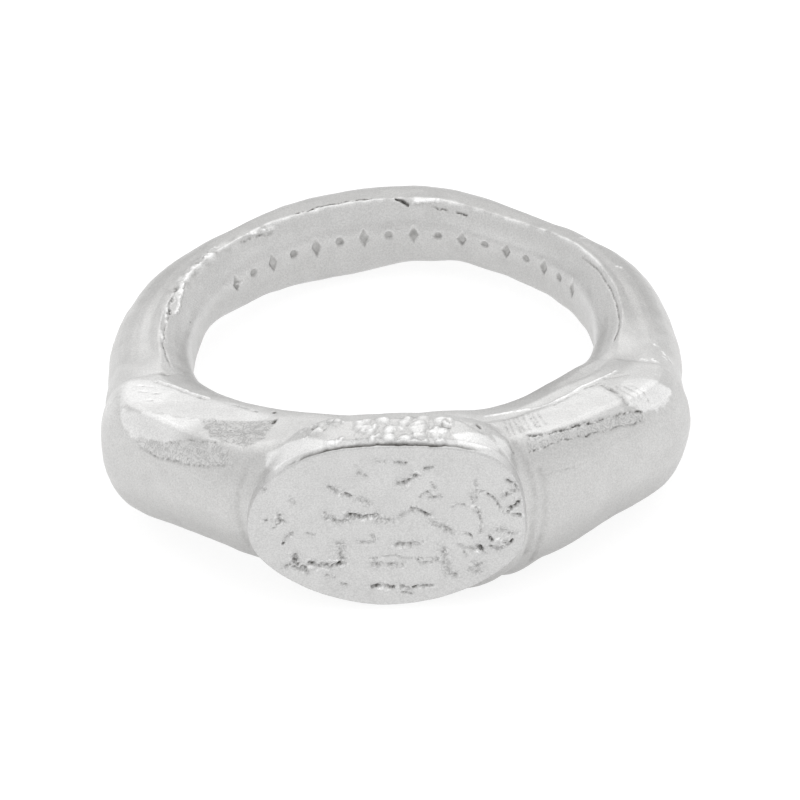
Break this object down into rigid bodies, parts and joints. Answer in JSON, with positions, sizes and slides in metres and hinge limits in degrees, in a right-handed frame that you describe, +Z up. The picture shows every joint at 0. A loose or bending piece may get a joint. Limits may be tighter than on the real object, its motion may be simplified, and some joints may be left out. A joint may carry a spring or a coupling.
{
  "type": "signet ring",
  "caption": "Silver signet ring with an upright oval seal, a swelled head, broad flat-topped shoulders and a slim rounded shank, in a satin, lightly pitted cast finish.",
  "frame": {"origin": "centre of the finger hole, on the ring's middle plane", "axes": "+Z along the finger hole's axis; the seal looks towards -Y; +X is to the right of someone who looks at the seal with +Z up"},
  "size_m": [0.0252, 0.0244, 0.008],
  "materials": {
    "cast_silver": "satin sterling silver, lightly grained, with bright worn ridges and rough cast patches",
    "seal_silver": "satin sterling silver, flat, with pits, gouges and scratches",
    "silver_solder": "silver solder, filed flush with the metal beside it"
  },
  "bodies": {
    "root": {"seal_plate": "seal_silver", "seal_plate_solder": "silver_solder", "head_block": "cast_silver", "left_shoulder": "cast_silver", "right_shoulder": "cast_silver", "left_shank": "cast_silver", "right_shank": "cast_silver", "left_head_solder": "silver_solder", "right_head_solder": "silver_solder", "left_shank_solder": "silver_solder", "right_shank_solder": "silver_solder", "back_solder": "silver_solder"}
  },
  "joints": []
}
